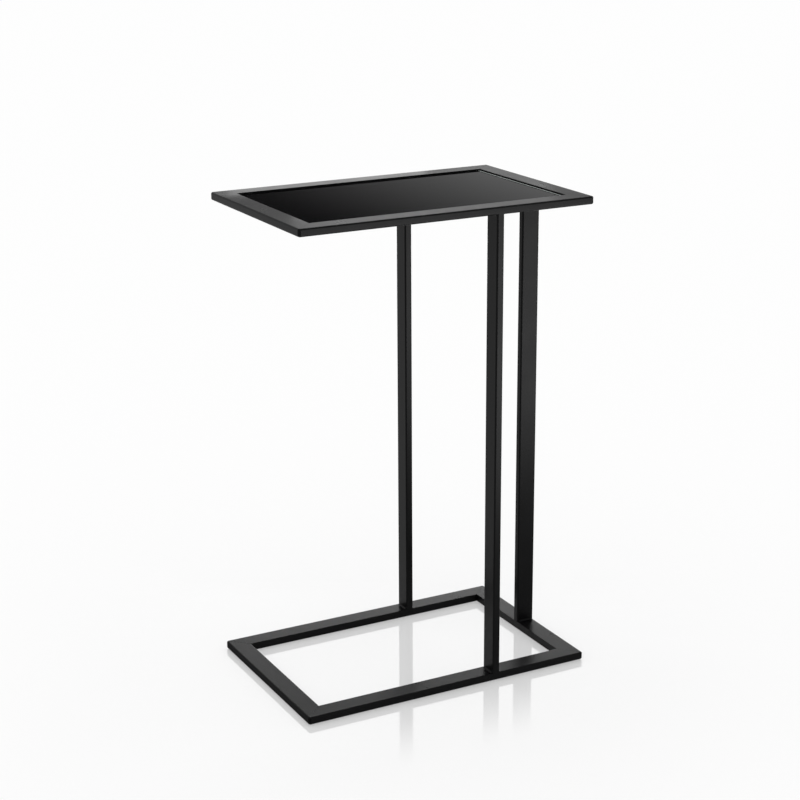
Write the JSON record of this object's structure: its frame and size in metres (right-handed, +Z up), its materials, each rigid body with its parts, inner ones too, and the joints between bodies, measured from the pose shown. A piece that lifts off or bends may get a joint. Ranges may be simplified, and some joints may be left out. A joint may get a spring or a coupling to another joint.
{
  "type": "c-shaped side table",
  "caption": "C-shaped side table of flat black steel tube: equal base and top frames joined by uprights at one end, with an inset dark glass panel. The open end slides over a seat.",
  "frame": {"origin": "on the floor, under the middle of the base frame", "axes": "+Z up; X along the long rails, with the open end at -X and the end leg at +X; Y across the table"},
  "size_m": [0.4, 0.26, 0.621],
  "materials": {
    "frame_powder_coat": "satin black powder coat",
    "black_glass": "polished, lacquered black underneath",
    "clear_bumper": "clear soft polyurethane",
    "floor_pad": "matt black foam rubber"
  },
  "bodies": {
    "frame": {"base_front_rail": "frame_powder_coat", "base_rear_rail": "frame_powder_coat", "base_open_end_rail": "frame_powder_coat", "base_post_end_rail": "frame_powder_coat", "top_front_rail": "frame_powder_coat", "top_rear_rail": "frame_powder_coat", "top_open_end_rail": "frame_powder_coat", "top_post_end_rail": "frame_powder_coat", "front_leg": "frame_powder_coat", "rear_leg": "frame_powder_coat", "end_leg": "frame_powder_coat", "front_leg_base_weld": "frame_powder_coat", "front_leg_top_weld": "frame_powder_coat", "rear_leg_base_weld": "frame_powder_coat", "rear_leg_top_weld": "frame_powder_coat", "end_leg_base_weld": "frame_powder_coat", "end_leg_top_weld": "frame_powder_coat", "front_glass_ledge": "frame_powder_coat", "rear_glass_ledge": "frame_powder_coat", "open_end_glass_ledge": "frame_powder_coat", "post_end_glass_ledge": "frame_powder_coat", "glass_bumper_1": "clear_bumper", "glass_bumper_2": "clear_bumper", "glass_bumper_3": "clear_bumper", "glass_bumper_4": "clear_bumper", "glass_bumper_5": "clear_bumper", "glass_bumper_6": "clear_bumper", "floor_pad_1": "floor_pad", "floor_pad_2": "floor_pad", "floor_pad_3": "floor_pad", "floor_pad_4": "floor_pad"},
    "glass": {"glass_top": "black_glass"}
  },
  "joints": [
    {"name": "glass_lift", "type": "slide", "parent": "frame", "child": "glass", "axis": [0, 0, 1], "range_m": [0, 0.04]}
  ]
}
